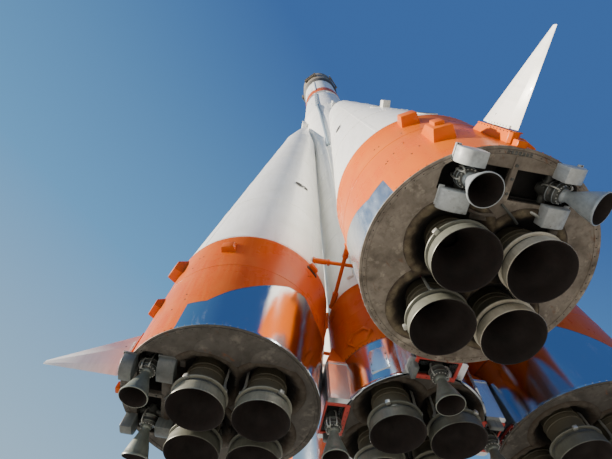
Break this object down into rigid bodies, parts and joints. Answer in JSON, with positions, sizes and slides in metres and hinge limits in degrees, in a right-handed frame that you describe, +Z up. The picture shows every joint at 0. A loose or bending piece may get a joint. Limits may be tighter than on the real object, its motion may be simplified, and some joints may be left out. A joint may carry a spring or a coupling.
{
  "type": "half-scale space rocket with strap-on boosters",
  "caption": "Space rocket at half size: slim core, conical strap-on boosters with swinging verniers and rudders, third stage on an open truss, fairing with folded grid fins, escape tower.",
  "frame": {"origin": "on the rocket's axis, level with the boosters' lower edges, at the mount air_hold", "axes": "+Z up to the nose; the boosters lie on the diagonals between X and Y, and the viewer of the picture stands towards -Y"},
  "size_m": [3.645, 3.645, 25.59],
  "materials": {
    "body_white": "satin white paint, slightly weathered",
    "skirt_orange": "glossy orange paint over riveted sheet",
    "heat_shield": "matt grey-brown heat shield with metal nozzles",
    "nozzle_metal": "dull grey metal",
    "vernier_metal": "dull grey metal with pale piping",
    "truss_grey": "pale grey paint",
    "fairing_paint": "matt grey-brown cover",
    "tower_paint": "off-white paint",
    "fin_lattice": "brown-grey metal lattice"
  },
  "bodies": {
    "airframe": {"booster_a_body": "body_white", "booster_a_skirt": "skirt_orange", "booster_a_engine": "heat_shield", "booster_b_body": "body_white", "booster_b_skirt": "skirt_orange", "booster_b_engine": "heat_shield", "booster_c_body": "body_white", "booster_c_skirt": "skirt_orange", "booster_c_engine": "heat_shield", "booster_d_body": "body_white", "booster_d_skirt": "skirt_orange", "booster_d_engine": "heat_shield", "core_body": "body_white", "core_tail": "skirt_orange", "core_engine": "heat_shield", "tie_rod_a_left": "skirt_orange", "tie_rod_a_right": "skirt_orange", "tie_rod_b_left": "skirt_orange", "tie_rod_b_right": "skirt_orange", "tie_rod_c_left": "skirt_orange", "tie_rod_c_right": "skirt_orange", "tie_rod_d_left": "skirt_orange", "tie_rod_d_right": "skirt_orange", "interstage_truss": "truss_grey", "third_stage_tail": "skirt_orange", "third_stage_engine": "nozzle_metal", "third_stage_body": "body_white", "fairing_lower": "fairing_paint", "fairing_upper": "fairing_paint", "escape_motor": "tower_paint", "escape_tip": "tower_paint"},
    "vernier_a_left": {"booster_a_vernier_left": "vernier_metal"},
    "vernier_a_right": {"booster_a_vernier_right": "vernier_metal"},
    "vernier_b_left": {"booster_b_vernier_left": "vernier_metal"},
    "vernier_b_right": {"booster_b_vernier_right": "vernier_metal"},
    "vernier_c_left": {"booster_c_vernier_left": "vernier_metal"},
    "vernier_c_right": {"booster_c_vernier_right": "vernier_metal"},
    "vernier_d_left": {"booster_d_vernier_left": "vernier_metal"},
    "vernier_d_right": {"booster_d_vernier_right": "vernier_metal"},
    "core_vernier_a": {"core_vernier_a": "vernier_metal"},
    "core_vernier_b": {"core_vernier_b": "vernier_metal"},
    "core_vernier_c": {"core_vernier_c": "vernier_metal"},
    "core_vernier_d": {"core_vernier_d": "vernier_metal"},
    "rudder_a": {"booster_a_rudder": "body_white"},
    "rudder_b": {"booster_b_rudder": "body_white"},
    "rudder_c": {"booster_c_rudder": "body_white"},
    "rudder_d": {"booster_d_rudder": "body_white"},
    "grid_fin_1": {"grid_fin_1": "fin_lattice"},
    "grid_fin_2": {"grid_fin_2": "fin_lattice"},
    "grid_fin_3": {"grid_fin_3": "fin_lattice"},
    "grid_fin_4": {"grid_fin_4": "fin_lattice"}
  },
  "joints": [
    {"name": "vernier_a_left_swing", "type": "hinge", "parent": "airframe", "child": "vernier_a_left", "pos_m": [1.43803, -1.10569, 0.09044], "axis": [0.7057, -0.7057, 0.064], "range_deg": [-78, 22]},
    {"name": "vernier_a_right_swing", "type": "hinge", "parent": "airframe", "child": "vernier_a_right", "pos_m": [1.10569, -1.43803, 0.09044], "axis": [0.7057, -0.7057, 0.064], "range_deg": [-50, 50]},
    {"name": "vernier_b_left_swing", "type": "hinge", "parent": "airframe", "child": "vernier_b_left", "pos_m": [-1.10569, -1.43803, 0.09044], "axis": [-0.7057, -0.7057, 0.064], "range_deg": [-50, 50]},
    {"name": "vernier_b_right_swing", "type": "hinge", "parent": "airframe", "child": "vernier_b_right", "pos_m": [-1.43803, -1.10569, 0.09044], "axis": [-0.7057, -0.7057, 0.064], "range_deg": [-30, 70]},
    {"name": "vernier_c_left_swing", "type": "hinge", "parent": "airframe", "child": "vernier_c_left", "pos_m": [-1.43803, 1.10569, 0.09044], "axis": [-0.7057, 0.7057, 0.064], "range_deg": [-50, 50]},
    {"name": "vernier_c_right_swing", "type": "hinge", "parent": "airframe", "child": "vernier_c_right", "pos_m": [-1.10569, 1.43803, 0.09044], "axis": [-0.7057, 0.7057, 0.064], "range_deg": [-50, 50]},
    {"name": "vernier_d_left_swing", "type": "hinge", "parent": "airframe", "child": "vernier_d_left", "pos_m": [1.10569, 1.43803, 0.09044], "axis": [0.7057, 0.7057, 0.064], "range_deg": [-50, 50]},
    {"name": "vernier_d_right_swing", "type": "hinge", "parent": "airframe", "child": "vernier_d_right", "pos_m": [1.43803, 1.10569, 0.09044], "axis": [0.7057, 0.7057, 0.064], "range_deg": [-50, 50]},
    {"name": "core_vernier_a_swing", "type": "hinge", "parent": "airframe", "child": "core_vernier_a", "pos_m": [0.39598, -0.39598, 0.01], "axis": [0.7071, -0.7071, 0], "range_deg": [-45, 45]},
    {"name": "core_vernier_b_swing", "type": "hinge", "parent": "airframe", "child": "core_vernier_b", "pos_m": [-0.39598, -0.39598, 0.01], "axis": [-0.7071, -0.7071, 0], "range_deg": [-45, 45]},
    {"name": "core_vernier_c_swing", "type": "hinge", "parent": "airframe", "child": "core_vernier_c", "pos_m": [-0.39598, 0.39598, 0.01], "axis": [-0.7071, 0.7071, 0], "range_deg": [-45, 45]},
    {"name": "core_vernier_d_swing", "type": "hinge", "parent": "airframe", "child": "core_vernier_d", "pos_m": [0.39598, 0.39598, 0.01], "axis": [0.7071, 0.7071, 0], "range_deg": [-45, 45]},
    {"name": "rudder_a_turn", "type": "hinge", "parent": "airframe", "child": "rudder_a", "pos_m": [1.44352, -1.44352, 0.40663], "axis": [0.7057, -0.7057, 0.064], "range_deg": [-20, 20]},
    {"name": "rudder_b_turn", "type": "hinge", "parent": "airframe", "child": "rudder_b", "pos_m": [-1.44352, -1.44352, 0.40663], "axis": [-0.7057, -0.7057, 0.064], "range_deg": [-20, 20]},
    {"name": "rudder_c_turn", "type": "hinge", "parent": "airframe", "child": "rudder_c", "pos_m": [-1.44352, 1.44352, 0.40663], "axis": [-0.7057, 0.7057, 0.064], "range_deg": [-20, 20]},
    {"name": "rudder_d_turn", "type": "hinge", "parent": "airframe", "child": "rudder_d", "pos_m": [1.44352, 1.44352, 0.40663], "axis": [0.7057, 0.7057, 0.064], "range_deg": [-20, 20]},
    {"name": "grid_fin_1_fold", "type": "hinge", "parent": "airframe", "child": "grid_fin_1", "pos_m": [0.8, 0, 18.425], "axis": [0, 1, 0], "range_deg": [0, 90]},
    {"name": "grid_fin_2_fold", "type": "hinge", "parent": "airframe", "child": "grid_fin_2", "pos_m": [0, 0.8, 18.425], "axis": [-1, 0, 0], "range_deg": [0, 90]},
    {"name": "grid_fin_3_fold", "type": "hinge", "parent": "airframe", "child": "grid_fin_3", "pos_m": [-0.8, 0, 18.425], "axis": [0, -1, 0], "range_deg": [0, 90]},
    {"name": "grid_fin_4_fold", "type": "hinge", "parent": "airframe", "child": "grid_fin_4", "pos_m": [0, -0.8, 18.425], "axis": [1, 0, 0], "range_deg": [0, 90]}
  ]
}
